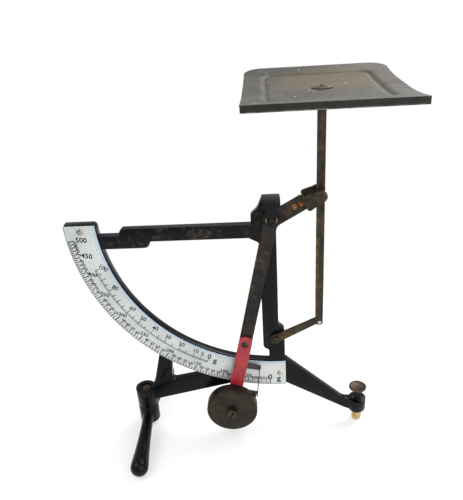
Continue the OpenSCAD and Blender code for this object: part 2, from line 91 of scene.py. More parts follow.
def pickFaces(piece, test):
    # selects faces in object mode, where the flags can be written
    bpy.ops.object.mode_set(mode="OBJECT")
    for part in (piece.data.vertices, piece.data.edges, piece.data.polygons):
        part.foreach_set("select", [False] * len(part))
    for face in piece.data.polygons:
        face.select = test(face)
    bpy.ops.object.mode_set(mode="EDIT")
    bpy.ops.mesh.select_mode(type="FACE")


def settle(piece):
    makeActive(piece)
    bpy.ops.object.transform_apply(location=True, rotation=True, scale=True)


def applyModifiers(piece):
    makeActive(piece)
    for modifier in list(piece.modifiers):
        bpy.ops.object.modifier_apply(modifier=modifier.name)


def smoothByAngle(piece, degrees=35):
    makeActive(piece)
    bpy.ops.object.shade_smooth_by_angle(angle=math.radians(degrees))


def softCopy(nodeName, pieceName, width, segments=2, angle=40):
    # a copy of a CAD node with its sharp edges rounded
    piece = nodes[nodeName].copy()
    piece.data = nodes[nodeName].data.copy()
    piece.name = pieceName
    piece.data.name = pieceName
    bpy.context.scene.collection.objects.link(piece)
    piece.parent = None
    piece.matrix_world = Matrix.Identity(4)
    editing(piece, "VERT")
    bpy.ops.mesh.select_all(action="SELECT")
    bpy.ops.mesh.remove_doubles(threshold=0.000002)
    bpy.ops.mesh.dissolve_limited(angle_limit=math.radians(0.6))
    doneEditing()
    bevel = piece.modifiers.new("worn edge", "BEVEL")
    bevel.width = width
    bevel.segments = segments
    bevel.limit_method = "ANGLE"
    bevel.angle_limit = math.radians(angle)
    bevel.harden_normals = False
    applyModifiers(piece)
    smoothByAngle(piece, 30)
    return piece


# shader building

class Wire:
    # one value or socket in a shader, so that its maths can be written out
    def __init__(self, tree, socket):
        self.tree = tree
        self.socket = socket

    def node(self, kind, settings=None, inputs=None, output=0):
        made = self.tree.nodes.new(kind)
        for key, value in (settings or {}).items():
            if key == "stops":
                ramp = made.color_ramp
                while len(ramp.elements) > 1:
                    ramp.elements.remove(ramp.elements[0])
                for index, (place, colour) in enumerate(value):
                    stop = ramp.elements[0] if index == 0 else ramp.elements.new(place)
                    stop.position = place
                    stop.color = colour if len(colour) == 4 else (*colour, 1)
            else:
                setattr(made, key, value)
        for key, value in (inputs or {}).items():
            if isinstance(value, Wire):
                self.tree.links.new(value.socket, made.inputs[key])
            else:
                made.inputs[key].default_value = value
        return Wire(self.tree, made.outputs[output])

    def maths(self, operation, *values, clamp=False):
        return self.node("ShaderNodeMath", {"operation": operation, "use_clamp": clamp},
                         dict(enumerate(values)))

    def __add__(self, other): return self.maths("ADD", self, other)
    def __radd__(self, other): return self.maths("ADD", other, self)
    def __sub__(self, other): return self.maths("SUBTRACT", self, other)
    def __rsub__(self, other): return self.maths("SUBTRACT", other, self)
    def __mul__(self, other): return self.maths("MULTIPLY", self, other)
    def __rmul__(self, other): return self.maths("MULTIPLY", other, self)
    def __truediv__(self, other): return self.maths("DIVIDE", self, other)

    def clamp(self): return self.maths("ADD", self, 0, clamp=True)

    def ramp(self, low, high, toLow=0.0, toHigh=1.0):
        return self.node("ShaderNodeMapRange", {"interpolation_type": "SMOOTHSTEP"},
                         {0: self, 1: low, 2: high, 3: toLow, 4: toHigh})

    def tint(self, under, over):
        # blends two colours by this value
        return self.node("ShaderNodeMix", {"data_type": "RGBA"}, {0: self, 6: under, 7: over}, output=2)

    def noise(self, scale, detail=4, rough=0.6):
        return self.node("ShaderNodeTexNoise", {}, {"Vector": self, "Scale": scale, "Detail": detail,
                                                    "Roughness": rough})



def linear(red, green, blue):
    # screen colour, 0 to 255, as a shader's colour
    def one(value):
        value /= 255
        return value / 12.92 if value <= 0.04045 else ((value + 0.055) / 1.055) ** 2.4
    return (one(red), one(green), one(blue), 1)


def newFinish(name):
    finish = bpy.data.materials.new(name)
    finish.use_nodes = True
    tree = finish.node_tree
    shader = tree.nodes["Principled BSDF"]
    place = tree.nodes.new("ShaderNodeTexCoord")
    return finish, shader, Wire(tree, place.outputs["Object"])


def split(place):
    parts = place.tree.nodes.new("ShaderNodeSeparateXYZ")
    place.tree.links.new(place.socket, parts.inputs[0])
    return [Wire(place.tree, out) for out in parts.outputs]


def distance(across, along):
    squared = across * across + along * along
    return squared.maths("SQRT", squared)


def feed(shader, name, wire):
    wire.tree.links.new(wire.socket, shader.inputs[name])


def bump(shader, height, strength, distance):
    made = height.node("ShaderNodeBump", {}, {"Strength": strength, "Distance": distance, "Height": height})
    feed(shader, "Normal", made)


def setting(shader, **values):
    for key, value in values.items():
        shader.inputs[key.replace("_", " ")].default_value = value


def edgeWear(place):
    # 1 on convex edges, 0 on flats
    sharp = place.node("ShaderNodeNewGeometry", output=7)
    return sharp.ramp(0.52, 0.6)


# camera, light and floor

viewPoint = {
    "place": (-0.07028, -0.3532, 0.34146),
    "turn": -4.272,       # degrees to the right of +Y
    "tilt": 26.68,        # degrees below level
    "roll": 3.866,
    "lens": 39.04,
}


def aimCamera():
    turn, tilt, roll = (math.radians(viewPoint[key]) for key in ("turn", "tilt", "roll"))
    ahead = Vector((math.sin(turn) * math.cos(tilt), math.cos(turn) * math.cos(tilt), -math.sin(tilt)))
    level = Vector((math.cos(turn), -math.sin(turn), 0))
    down = ahead.cross(level)
    right = level * math.cos(roll) + down * math.sin(roll)
    down = down * math.cos(roll) - level * math.sin(roll)
    bpy.ops.object.camera_add(location=viewPoint["place"])
    camera = bpy.context.object
    camera.name = "viewCamera"
    camera.data.lens = viewPoint["lens"]
    camera.data.sensor_width = 36
    camera.rotation_euler = Matrix((right, -down, -ahead)).transposed().to_euler()
    bpy.context.scene.camera = camera


studio = {
    "skyStrength": 0.6,
    "keySize": 0.6, "keyPower": 8.0, "keyPlace": (0.35, 0.35, 0.8),
    "fillSize": 0.9, "fillPower": 6.0, "fillPlace": (0.45, -0.75, 0.5),
    "rimSize": 0.5, "rimPower": 3.0, "rimPlace": (-0.6, -0.2, 0.7),
}


def softBox(name, place, size, power, aim=(-0.06, 0, 0.12)):
    bpy.ops.object.light_add(type="AREA", location=place)
    lamp = bpy.context.object
    lamp.name = name
    lamp.data.shape = "RECTANGLE"
    lamp.data.size = size
    lamp.data.size_y = size
    lamp.data.energy = power
    lamp.rotation_euler = (Vector(aim) - Vector(place)).to_track_quat("-Z", "Y").to_euler()


def buildStudio():
    world = bpy.data.worlds.new("studioSky")
    bpy.context.scene.world = world
    world.use_nodes = True
    tree = world.node_tree
    tree.nodes.clear()
    paths = tree.nodes.new("ShaderNodeLightPath")
    seen = Wire(tree, paths.outputs["Is Camera Ray"])
    glossy = Wire(tree, paths.outputs["Is Glossy Ray"])
    through = Wire(tree, paths.outputs["Is Transmission Ray"])
    plain = tree.nodes.new("ShaderNodeBackground")
    plain.inputs["Color"].default_value = (0.96, 0.965, 0.97, 1)
    plain.inputs["Strength"].default_value = studio["skyStrength"]
    white = tree.nodes.new("ShaderNodeBackground")
    white.inputs["Color"].default_value = (1, 1, 1, 1)
    white.inputs["Strength"].default_value = 1.0
    mix = tree.nodes.new("ShaderNodeMixShader")
    tree.links.new((seen + glossy * 0.12 + through).clamp().socket, mix.inputs[0])
    tree.links.new(plain.outputs[0], mix.inputs[1])
    tree.links.new(white.outputs[0], mix.inputs[2])
    sky = tree.nodes.new("ShaderNodeOutputWorld")
    tree.links.new(mix.outputs[0], sky.inputs[0])
    softBox("keyLight", studio["keyPlace"], studio["keySize"], studio["keyPower"])
    softBox("fillLight", studio["fillPlace"], studio["fillSize"], studio["fillPower"])
    softBox("rimLight", studio["rimPlace"], studio["rimSize"], studio["rimPower"])


paper = {
    "centre": (-0.06, -0.2, -0.0005), "size": (5, 3.2, 1),
    "shadowCentre": (-0.055, 0.02), "shadowRange": (0.012, 0.045),    # squared distances
    "nearGlow": 0.5, "mirrorGlow": 0.12, "rough": 0.75,
}


def buildFloor():
    # a flat pale sheet, which turns plain white away from the balance
    bpy.ops.mesh.primitive_plane_add(size=1, location=paper["centre"])
    floor = bpy.context.object
    floor.name = "paperSweep"
    floor.scale = paper["size"]
    settle(floor)
    finish, shader, place = newFinish("palePaper")
    grain = place.noise(9, 5, 0.6)
    feed(shader, "Base Color", grain.ramp(0.3, 0.7).tint((0.86, 0.86, 0.85, 1), (0.93, 0.93, 0.92, 1)))
    setting(shader, Roughness=paper["rough"])
    tree = finish.node_tree
    paths = tree.nodes.new("ShaderNodeLightPath")
    glow = tree.nodes.new("ShaderNodeEmission")
    glow.inputs["Color"].default_value = (1, 1, 1, 1)
    mix = tree.nodes.new("ShaderNodeMixShader")
    mirrored = Wire(tree, paths.outputs["Is Glossy Ray"]) * paper["mirrorGlow"]
    x, y, z = split(place)
    across, along = x - paper["shadowCentre"][0], y - paper["shadowCentre"][1]
    away = (across * across + along * along).ramp(*paper["shadowRange"])
    plain = away.ramp(0, 1, paper["nearGlow"], 1)
    tree.links.new((Wire(tree, paths.outputs["Is Camera Ray"]) * plain + mirrored).socket, mix.inputs[0])
    tree.links.new(shader.outputs[0], mix.inputs[1])
    tree.links.new(glow.outputs[0], mix.inputs[2])
    tree.links.new(mix.outputs[0], tree.nodes["Material Output"].inputs[0])
    floor.data.materials.append(finish)


aimCamera()
buildStudio()
buildFloor()
bpy.context.scene.view_settings.view_transform = "Standard"
print("camera, light and floor set")


# finishes

def japanBlackFinish():
    finish, shader, place = newFinish("japanBlack")
    x, y, z = split(place)
    cloud = place.noise(28, 6, 0.65)
    scuff = place.noise(240, 5, 0.7)
    # the lacquer is worn to brown on the arm's front, between the head and its step
    arm = ((x - (axle.x - 0.089)).ramp(0, 0.012) * ((axle.x - 0.012) - x).ramp(0, 0.012)
           * (z - (axle.z - 0.0165)).ramp(0, 0.002) * ((axle.z - 0.0055) - z).ramp(0, 0.002)
           * ((plateFront + 0.0016) - y).ramp(0, 0.0006))
    worn = (arm * (cloud * 0.7 + scuff * 0.5).ramp(0.56, 0.78)).clamp()
    chips = edgeWear(place) * scuff.ramp(0.5, 0.62) * cloud.ramp(0.42, 0.6)
    base = cloud.ramp(0.35, 0.7).tint(linear(2, 3, 6), linear(7, 9, 16))
    base = (worn * 0.6).tint(base, scuff.ramp(0.35, 0.65).tint(linear(30, 24, 20), linear(70, 56, 42)))
    base = (chips * 0.3).tint(base, linear(92, 84, 74))
    dust = place.noise(900, 2, 0.5).ramp(0.66, 0.74) * 0.1
    feed(shader, "Base Color", dust.tint(base, linear(120, 118, 112)))
    feed(shader, "Roughness", (scuff.ramp(0.3, 0.7, 0.22, 0.34) + worn * 0.25 + chips * 0.2).clamp())
    setting(shader, Coat_Weight=0.04, Coat_Roughness=0.1, Specular_IOR_Level=0.12)
    bump(shader, place.noise(160, 3, 0.5) + scuff * 0.25, 0.12, 0.0004)
    return finish


def enamelFinish():
    finish, shader, place = newFinish("dialEnamel")
    x, y, z = split(place)
    radius = distance(x - axle.x, z - axle.z)
    cloud = place.noise(45, 5, 0.6)
    speck = place.noise(700, 3, 0.6)
    white = cloud.ramp(0.3, 0.7).tint(linear(172, 177, 174), linear(190, 193, 190))
    inner = (0.1303 - radius).ramp(-0.001, 0.0036)
    white = (inner * 0.7).tint(white, linear(146, 168, 190))
    outer = radius.ramp(0.149, 0.1499)
    white = (outer * 0.85).tint(white, linear(50, 54, 62))
    white = (speck.ramp(0.66, 0.76) * 0.35).tint(white, linear(120, 116, 106))
    side = (y - (plateFront + 0.00025)).ramp(0, 0.0002)
    feed(shader, "Base Color", side.tint(white, linear(26, 30, 40)))
    feed(shader, "Roughness", cloud.ramp(0.3, 0.7, 0.22, 0.34))
    setting(shader, Coat_Weight=0.4, Coat_Roughness=0.08)
    bump(shader, place.noise(120, 2, 0.5), 0.05, 0.0003)
    return finish


def bronzedFinish(name, dark, mid, pale, seed, rustAmount=0.4, scale=1.0):
    # bronzed brass: a brown skin, thinned to ochre in patches, with dark stains
    finish, shader, place = newFinish(name)
    shifted = place.node("ShaderNodeMapping", {}, {"Vector": place, "Location": (seed, seed * 0.7, 0)})
    cloud = shifted.noise(55 * scale, 6, 0.68)
    mottle = shifted.noise(210 * scale, 5, 0.7)
    pits = shifted.noise(640 * scale, 4, 0.65)
    base = (cloud * 0.6 + mottle * 0.4).ramp(0.36, 0.66).tint(dark, mid)
    thin = (mottle * 0.55 + pits * 0.45).ramp(0.52, 0.66) * cloud.ramp(0.4, 0.6)
    base = (thin * 0.8).tint(base, pale)
    base = (pits.ramp(0.6, 0.72) * rustAmount).tint(base, linear(84, 44, 26))
    base = (shifted.noise(120 * scale, 4, 0.7).ramp(0.6, 0.72) * 0.7).tint(base, linear(20, 17, 14))
    wear = edgeWear(place) * mottle.ramp(0.42, 0.6)
    feed(shader, "Base Color", (wear * 0.55).tint(base, pale))
    feed(shader, "Metallic", (0.35 + thin * 0.35 + wear * 0.3).clamp())
    feed(shader, "Roughness", (pits.ramp(0.3, 0.7, 0.42, 0.62) - wear * 0.12).clamp())
    setting(shader, Specular_IOR_Level=0.3)
    bump(shader, pits + mottle * 0.6, 0.22, 0.00025)
    return finish


def panFinish():
    finish, shader, place = newFinish("panBrass")
    x, y, z = split(place)
    centre = middle("pan")
    cloud = place.noise(26, 6, 0.65)
    mottle = place.noise(130, 5, 0.7)
    pits = place.noise(520, 4, 0.65)
    dx = (x - (centre.x + 0.008)) / 0.042
    dy = (y - (centre.y + 0.022)) / 0.034
    warm = 1 - (dx * dx + dy * dy).ramp(0.15, 1.3)
    grey = (cloud * 0.7 + mottle * 0.3).ramp(0.35, 0.65).tint(linear(60, 58, 53), linear(86, 83, 75))
    base = (warm * mottle.ramp(0.3, 0.7, 0.45, 0.9)).tint(grey, linear(88, 76, 54))
    base = (pits.ramp(0.6, 0.74) * 0.45).tint(base, linear(58, 50, 42))
    base = (place.noise(330, 2, 0.5).ramp(0.7, 0.76) * 0.8).tint(base, linear(176, 172, 160))
    # painted shade: faces turned downward are painted dark brown, for the shade under the pan
    facing = place.node("ShaderNodeNewGeometry", output=1)
    under = place.node("ShaderNodeSeparateXYZ", {}, {0: facing}, output=2).ramp(-0.1, 0.35)
    # painted shade: the front skirt, turned away from the light, is painted nearly black and not metallic
    skirtShade = ((centre.y - 0.0595) - y).ramp(0, 0.0016)
    base = skirtShade.tint(base, linear(7, 6, 6))
    base = under.tint(mottle.ramp(0.3, 0.7).tint(linear(14, 12, 11), linear(30, 26, 21)), base)
    wear = edgeWear(place) * mottle.ramp(0.35, 0.6)
    feed(shader, "Base Color", (wear * 0.5).tint(base, linear(140, 134, 120)))
    feed(shader, "Metallic", ((0.3 + wear * 0.3) * (1 - skirtShade)).clamp())
    feed(shader, "Roughness", pits.ramp(0.3, 0.7, 0.46, 0.66))
    setting(shader, Specular_IOR_Level=0.3)
    bump(shader, pits + mottle, 0.22, 0.0003)
    return finish


def bareMetalFinish(name, low, high, rough, rust=0.3, seed=0.0):
    finish, shader, place = newFinish(name)
    shifted = place.node("ShaderNodeMapping", {}, {"Vector": place, "Location": (seed, 0, seed)})
    cloud = shifted.noise(160, 5, 0.65)
    pits = shifted.noise(900, 4, 0.65)
    base = cloud.ramp(0.32, 0.68).tint(low, high)
    base = (pits.ramp(0.56, 0.7) * rust).tint(base, linear(70, 42, 26))
    wear = edgeWear(place)
    feed(shader, "Base Color", (wear * 0.45).tint(base, high))
    setting(shader, Metallic=0.85)
    feed(shader, "Roughness", pits.ramp(0.3, 0.7, rough, rough + 0.18))
    bump(shader, pits, 0.18, 0.00012)
    return finish


def redPaintFinish():
    finish, shader, place = newFinish("pointerRed")
    x, y, z = split(place)
    cloud = place.noise(90, 5, 0.6)
    pits = place.noise(800, 4, 0.65)
    base = cloud.ramp(0.3, 0.7).tint(linear(132, 18, 30), linear(160, 28, 40))
    # chipped down to black at the foot's right side
    low = ((axle.z - 0.1485) - z).ramp(0, 0.006)
    right = (x - (axle.x - 0.034)).ramp(0, 0.008)
    lost = (low * right * 0.75 + low * 0.2 + (place.noise(260, 4, 0.7) - 0.5)).ramp(0.42, 0.5)
    base = lost.tint(base, linear(20, 15, 15))
    base = (edgeWear(place) * pits.ramp(0.5, 0.62) * 0.8).tint(base, linear(40, 14, 14))
    feed(shader, "Base Color", base)
    feed(shader, "Roughness", (pits.ramp(0.3, 0.7, 0.34, 0.5) + lost * 0.15).clamp())
    bump(shader, pits * 0.4 - lost, 0.15, 0.0001)
    return finish


def blackPaintFinish():
    finish, shader, place = newFinish("blackPaint")
    cloud = place.noise(110, 5, 0.65)
    pits = place.noise(700, 4, 0.65)
    base = cloud.ramp(0.35, 0.7).tint(linear(15, 12, 11), linear(40, 34, 26))
    feed(shader, "Base Color", (edgeWear(place) * pits.ramp(0.45, 0.6) * 0.6).tint(base, linear(86, 70, 48)))
    feed(shader, "Roughness", pits.ramp(0.3, 0.7, 0.42, 0.6))
    bump(shader, pits, 0.12, 0.00015)
    return finish


def weightFinish():
    finish, shader, place = newFinish("weightBronze")
    x, y, z = split(place)
    low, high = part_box("weight")
    centre = middle("weight")
    cloud = place.noise(60, 6, 0.68)
    mottle = place.noise(230, 5, 0.7)
    pits = place.noise(800, 4, 0.65)
    radius = distance(x - centre.x, z - centre.z)
    face = (cloud * 0.55 + mottle * 0.45).ramp(0.36, 0.64).tint(linear(24, 22, 16), linear(46, 42, 30))
    # painted shade: darker round the screw's end, mostly above it, for the shade in its recess
    hollowShade = (1 - radius.ramp(0.002, 0.009)) * (z - centre.z).ramp(-0.002, 0.006)
    face = (hollowShade * 0.75).tint(face, linear(14, 11, 9))
    rim = (y - (low[1] + 0.0012)).ramp(0, 0.001)
    side = cloud.ramp(0.3, 0.7).tint(linear(6, 6, 10), linear(18, 17, 22))
    base = rim.tint(face, side)
    worn = edgeWear(place) * mottle.ramp(0.35, 0.55)
    base = (worn * 0.85).tint(base, linear(104, 58, 38))
    base = (pits.ramp(0.6, 0.72) * 0.3).tint(base, linear(90, 62, 40))
    feed(shader, "Base Color", base)
    feed(shader, "Metallic", (0.3 + worn * 0.3).clamp())
    setting(shader, Specular_IOR_Level=0.25)
    feed(shader, "Roughness", pits.ramp(0.3, 0.7, 0.42, 0.58))
    bump(shader, pits + mottle * 0.5, 0.2, 0.0002)
    return finish


def inkFinish():
    finish, shader, place = newFinish("dialInk")
    fade = place.noise(500, 4, 0.7)
    feed(shader, "Base Color", fade.ramp(0.45, 0.8).tint(linear(8, 8, 12), linear(34, 34, 40)))
    setting(shader, Roughness=0.6, Specular_IOR_Level=0.2)
    return finish


finishes = {
    "japan_black": japanBlackFinish(),
    "enamel_white": enamelFinish(),
    "beam": bronzedFinish("beamBronze", linear(14, 12, 11), linear(38, 32, 25), linear(88, 68, 42),
                          seed=0.3, rustAmount=0.32),
    "bronzed_brass": bronzedFinish("stemBronze", linear(28, 23, 17), linear(58, 47, 32), linear(104, 82, 48),
                                   seed=1.7, rustAmount=0.22),
    "pan_brass": panFinish(),
    "bright_brass": bareMetalFinish("brightBrass", linear(128, 98, 48), linear(196, 160, 92), 0.3, 0.35, 0.4),
    "copper": bareMetalFinish("dullCopper", linear(88, 56, 34), linear(138, 92, 56), 0.4, 0.4, 2.1),
    "nut_brass": bareMetalFinish("nutBrass", linear(160, 134, 78), linear(206, 180, 120), 0.3, 0.2, 2.6),
    "steel": bareMetalFinish("agedSteel", linear(104, 98, 88), linear(190, 186, 176), 0.26, 0.35, 0.9),
    "dark_steel": bareMetalFinish("darkSteel", linear(34, 30, 26), linear(78, 66, 54), 0.4, 0.6, 1.3),
    "red_paint": redPaintFinish(),
    "black_paint": blackPaintFinish(),
    "weight_metal": weightFinish(),
    "ink": inkFinish(),
}
print("finishes made:", len(finishes))


# CAD nodes with rounded edges

edgeRounding = {              # metres, by node
    "frame": 0.0007, "swivel_foot": 0.0009, "scale_plate": 0.00018, "beam": 0.0003, "fork": 0.0003,
    "stem": 0.0004, "link": 0.0004, "pointer": 0.00022, "carrier": 0.0002, "weight": 0.0005,
    "weight_nut": 0.0003, "pan_collar": 0.0004, "pan_washer": 0.00012, "levelling_foot": 0.0004,
    "fork_pin": 0.0003, "guide_pin": 0.0003, "pivot_pin": 0.0003, "swivel_pin": 0.0003,
    "pivot_bush": 0.0003, "link_screw": 0.00015, "pointer_screw": 0.00012, "index_blade": 0.00008,
}
bodyOf = {node: body for body, names in frame["record"]["behaviour"]["bodies"].items() for node in names}
slotOf = {part["node"]: part["material_slot"] for part in frame["record"]["subparts"]}


finishOf = {"beam": "beam", "pan_washer": "pan_brass", "fork_rivets": "copper", "levelling_foot": "nut_brass",
            "index_blade": "black_paint", "pivot_pin": "dark_steel", "fork_pin": "dark_steel",
            "swivel_pin": "dark_steel"}


def finishFor(nodeName):
    return finishes[finishOf.get(nodeName, slotOf[nodeName])]


def dress(piece, finish):
    piece.data.materials.clear()
    piece.data.materials.append(finish)


def standIn(piece, nodeName, finish=None):
    dress(piece, finish or finishFor(nodeName))
    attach(piece, bodyOf[nodeName])
    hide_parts(nodeName)


for nodeName, width in edgeRounding.items():
    standIn(softCopy(nodeName, nodeName + "Worn", width), nodeName)
for nodeName in ("plate_rivets", "fork_rivets"):
    for slot in nodes[nodeName].material_slots:
        slot.material = finishFor(nodeName)
print("castings and plates rounded")


# the pan

panShape = {
    "columns": 132, "rows": 164,
    "sheet": 0.0009,
    "backCorner": 0.012, "frontCorner": 0.0025,
    "rise": 0.0036, "flatShare": 0.249,
    "panelWide": 0.071, "panelLong": 0.086, "panelCorner": 0.006, "panelDrop": 0.0007,
    "creaseWide": 0.0022, "grooveWide": 0.0017, "grooveDeep": 0.0011,
    "lipRings": (0.0011, 0.0022, 0.0010),
    "frontRim": 0.0022, "backRim": 0.0004, "cornerReach": 0.0012,
}


def roundedCorner(x, y, halfX, halfY, radius):
    # moves a point of a square corner onto a quarter disc
    cornerX, cornerY = halfX - radius, halfY - radius
    dx, dy = abs(x) - cornerX, abs(y) - cornerY
    if dx <= 0 or dy <= 0:
        return x, y
    share = max(dx, dy) / math.hypot(dx, dy)
    return math.copysign(cornerX + dx * share, x), math.copysign(cornerY + dy * share, y)


def panHeight(x, y, halfLong):
    far = max(0, abs(y) / halfLong - panShape["flatShare"]) / (1 - panShape["flatShare"])
    height = panShape["rise"] * far ** 1.8
    # distance inside the pressed panel's rounded outline
    corner = panShape["panelCorner"]
    dx = abs(x) - (panShape["panelWide"] / 2 - corner)
    dy = abs(y) - (panShape["panelLong"] / 2 - corner)
    outside = math.hypot(max(dx, 0), max(dy, 0)) + min(max(dx, dy), 0) - corner
    inside = min(1, max(0, 0.5 - outside / panShape["creaseWide"]))
    inside = inside * inside * (3 - 2 * inside)
    groove = math.exp(-(outside / panShape["grooveWide"]) ** 2)
    return height - panShape["panelDrop"] * inside - panShape["grooveDeep"] * groove


def makePan():
    low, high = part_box("pan")
    halfWide, halfLong = (high[0] - low[0]) / 2, (high[1] - low[1]) / 2
    centre = middle("pan")
    bpy.ops.mesh.primitive_grid_add(x_subdivisions=panShape["columns"], y_subdivisions=panShape["rows"],
                                    size=1)
    pan = bpy.context.object
    pan.name = "pressedPan"
    pan.scale = (2 * halfWide, 2 * halfLong, 1)
    settle(pan)
    floorHeight = high[2] - panShape["rise"]
    for point in pan.data.vertices:
        radius = panShape["backCorner"] if point.co.y > 0 else panShape["frontCorner"]
        x, y = roundedCorner(point.co.x, point.co.y, halfWide, halfLong, radius)
        point.co = (centre.x + x, centre.y + y, floorHeight + panHeight(x, y, halfLong))
    # the front and back edges are turned down
    editing(pan, "EDGE")
    for side in (-1, 1):
        bpy.ops.mesh.select_all(action="DESELECT")
        bpy.ops.object.mode_set(mode="OBJECT")
        rim = halfLong - panShape["backRim" if side > 0 else "frontRim"]
        corner = panShape["backCorner"] - 0.0002 if side > 0 else -panShape["cornerReach"]
        uses = Counter(key for face in pan.data.polygons for key in face.edge_keys)
        for edge in pan.data.edges:
            ends = [pan.data.vertices[i].co for i in edge.vertices]
            edge.select = uses[edge.key] == 1 and all(
                side * (end.y - centre.y) > rim and abs(end.x - centre.x) < halfWide - corner for end in ends)
        bpy.ops.object.mode_set(mode="EDIT")
        for ring in panShape["lipRings"]:
            bpy.ops.mesh.extrude_region_move(TRANSFORM_OT_translate={"value": (0, 0, -ring)})
    bpy.ops.mesh.select_all(action="SELECT")
    bpy.ops.mesh.normals_make_consistent(inside=False)
    doneEditing()
    if pan.data.polygons[len(pan.data.polygons) // 3].normal.z < 0:
        editing(pan, "FACE")
        bpy.ops.mesh.select_all(action="SELECT")
        bpy.ops.mesh.flip_normals()
        doneEditing()
    wall = pan.modifiers.new("sheet", "SOLIDIFY")
    wall.thickness = panShape["sheet"]
    wall.offset = -1
    wall.use_even_offset = False
    edge = pan.modifiers.new("rim", "BEVEL")
    edge.width = 0.00028
    edge.segments = 3
    edge.limit_method = "ANGLE"
    edge.angle_limit = math.radians(50)
    applyModifiers(pan)
    smoothByAngle(pan, 45)
    standIn(pan, "pan")


makePan()
print("pan pressed")


# turned pieces

def turned(name, profile, place, steps=64, axis="Z"):
    # spins a profile of (radius, height) points round an upright axis through place
    bpy.ops.mesh.primitive_plane_add(size=1)
    piece = bpy.context.object
    piece.name = name
    editing(piece, "VERT")
    bpy.ops.mesh.select_all(action="SELECT")
    bpy.ops.mesh.merge(type="CENTER")
    bpy.ops.transform.translate(value=(profile[0][0], 0, profile[0][1]))
    for (radius, height), (nextRadius, nextHeight) in zip(profile, profile[1:]):
        step = (nextRadius - radius, 0, nextHeight - height)
        bpy.ops.mesh.extrude_vertices_move(TRANSFORM_OT_translate={"value": step})
    bpy.ops.mesh.select_all(action="SELECT")
    bpy.ops.mesh.spin(steps=steps, angle=2 * math.pi, center=(0, 0, 0), axis=(0, 0, 1))
    bpy.ops.mesh.select_all(action="SELECT")
    bpy.ops.mesh.remove_doubles(threshold=0.000004)
    bpy.ops.mesh.normals_make_consistent(inside=False)
    doneEditing()
    if axis == "Y":
        piece.rotation_euler = (math.radians(90), 0, 0)
    piece.location = place
    settle(piece)
    smoothByAngle(piece, 40)
    return piece


levelScrew = {"core": 0.00186, "crest": 0.0022, "pitch": 0.0008, "thread": (0.0032, 0.0202)}


def makeLevelScrew():
    low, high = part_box("levelling_screw")
    centre = middle("levelling_screw")
    top = high[2] - low[2]
    head = (high[0] - low[0]) / 2
    profile = [(0, 0), (levelScrew["core"] - 0.0002, 0), (levelScrew["core"], 0.0004)]
    height = levelScrew["thread"][0]
    profile.append((levelScrew["core"], height))
    while height < levelScrew["thread"][1]:
        profile += [(levelScrew["crest"], height + levelScrew["pitch"] * 0.4),
                    (levelScrew["crest"], height + levelScrew["pitch"] * 0.55),
                    (levelScrew["core"], height + levelScrew["pitch"])]
        height += levelScrew["pitch"]
    profile += [
        (0.0019, top - 0.0080), (0.0022, top - 0.0056), (0.0025, top - 0.0044), (0.0031, top - 0.0031),
        (head - 0.0016, top - 0.0021), (head - 0.0004, top - 0.0016), (head, top - 0.0011),
        (head, top - 0.0004), (head - 0.0003, top - 0.00008), (head - 0.0007, top - 0.00002),
        (head - 0.0012, top - 0.0004), (0.0026, top - 0.0008), (0.0009, top - 0.0009),
        (0.0007, top - 0.0005), (0, top - 0.00042)]
    screw = turned("thumbScrew", profile, (centre.x, centre.y, low[2]), 72)
    standIn(screw, "levelling_screw")


makeLevelScrew()


def makeWeightScrew():
    # a slotted, rusted screw end standing in a worn brass collar
    low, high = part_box("weight_screw")
    centre = middle("weight_screw")
    length = high[1] - low[1]
    head = (high[0] - low[0]) / 2
    profile = [(0, 0), (0.0023, 0), (0.0025, 0.0003)]
    height = 0.0004
    while height < length - 0.0054:
        profile += [(0.0025, height + 0.0003), (0.00215, height + 0.0006)]
        height += 0.0006
    profile += [(0.0025, length - 0.0047), (head - 0.0004, length - 0.0046), (head, length - 0.0042),
                (head, length - 0.0012), (head - 0.0003, length - 0.0006), (head - 0.0012, length - 0.0001),
                (0, length)]
    screw = turned("weightScrewEnd", profile, (centre.x, high[1], centre.z), 56, axis="Y")
    bpy.ops.mesh.primitive_cube_add(size=1, location=(centre.x, low[1], centre.z))
    cutter = bpy.context.object
    cutter.scale = (0.0012, 0.0034, 0.012)
    cutter.rotation_euler = (0, math.radians(35), 0)
    settle(cutter)
    slot = screw.modifiers.new("slot", "BOOLEAN")
    slot.object = cutter
    slot.operation = "DIFFERENCE"
    slot.solver = "EXACT"
    applyModifiers(screw)
    bpy.data.objects.remove(cutter)
    smoothByAngle(screw, 40)
    standIn(screw, "weight_screw")


makeWeightScrew()
print("screws turned")


# print on the dial

dialOuter = {"gain": 372.7, "lean": 2.18, "bend": 38.77, "empty": 32.9}      # grams against angle
dialInner = {"gain": 104.1, "lean": -31.25, "bend": 39.0, "empty": -14.2}
dialPrint = {
    "inkDepth": 0.00003,
    "outerRadius": 0.1494, "innerRadius": 0.1370,
    "shortTick": 0.0021, "longTick": 0.0040, "fineTick": 0.0013, "midTick": 0.0026, "highTick": 0.0036,
    "tickWide": 0.0006,
    "bigText": 0.0056, "midText": 0.0045, "smallText": 0.0036, "innerText": 0.0049,
    "zeroText": 0.0068, "innerZeroText": 0.0062,
    "topFrom": 450, "topReach": 0.1402, "midReach": 0.1426, "zeroReach": 0.1427, "swayReach": 0.0012,
}


def dialAngle(grams, law):
    lean, bend = math.radians(law["lean"]), math.radians(law["bend"])
    load = grams + law["empty"]
    return math.atan2(load * math.cos(bend) - law["gain"] * math.sin(lean),
                      law["gain"] * math.cos(lean) - load * math.sin(bend))


def onDial(angle, radius, lift=0.0):
    return Vector((axle.x - radius * math.sin(angle), plateFront - lift, axle.z - radius * math.cos(angle)))


def addTick(angle, inner, outer, wide):
    place = onDial(angle, (inner + outer) / 2, dialPrint["inkDepth"] / 2)
    bpy.ops.mesh.primitive_cube_add(size=1, location=place, rotation=(0, angle, 0),
                                    scale=(wide, dialPrint["inkDepth"], outer - inner))


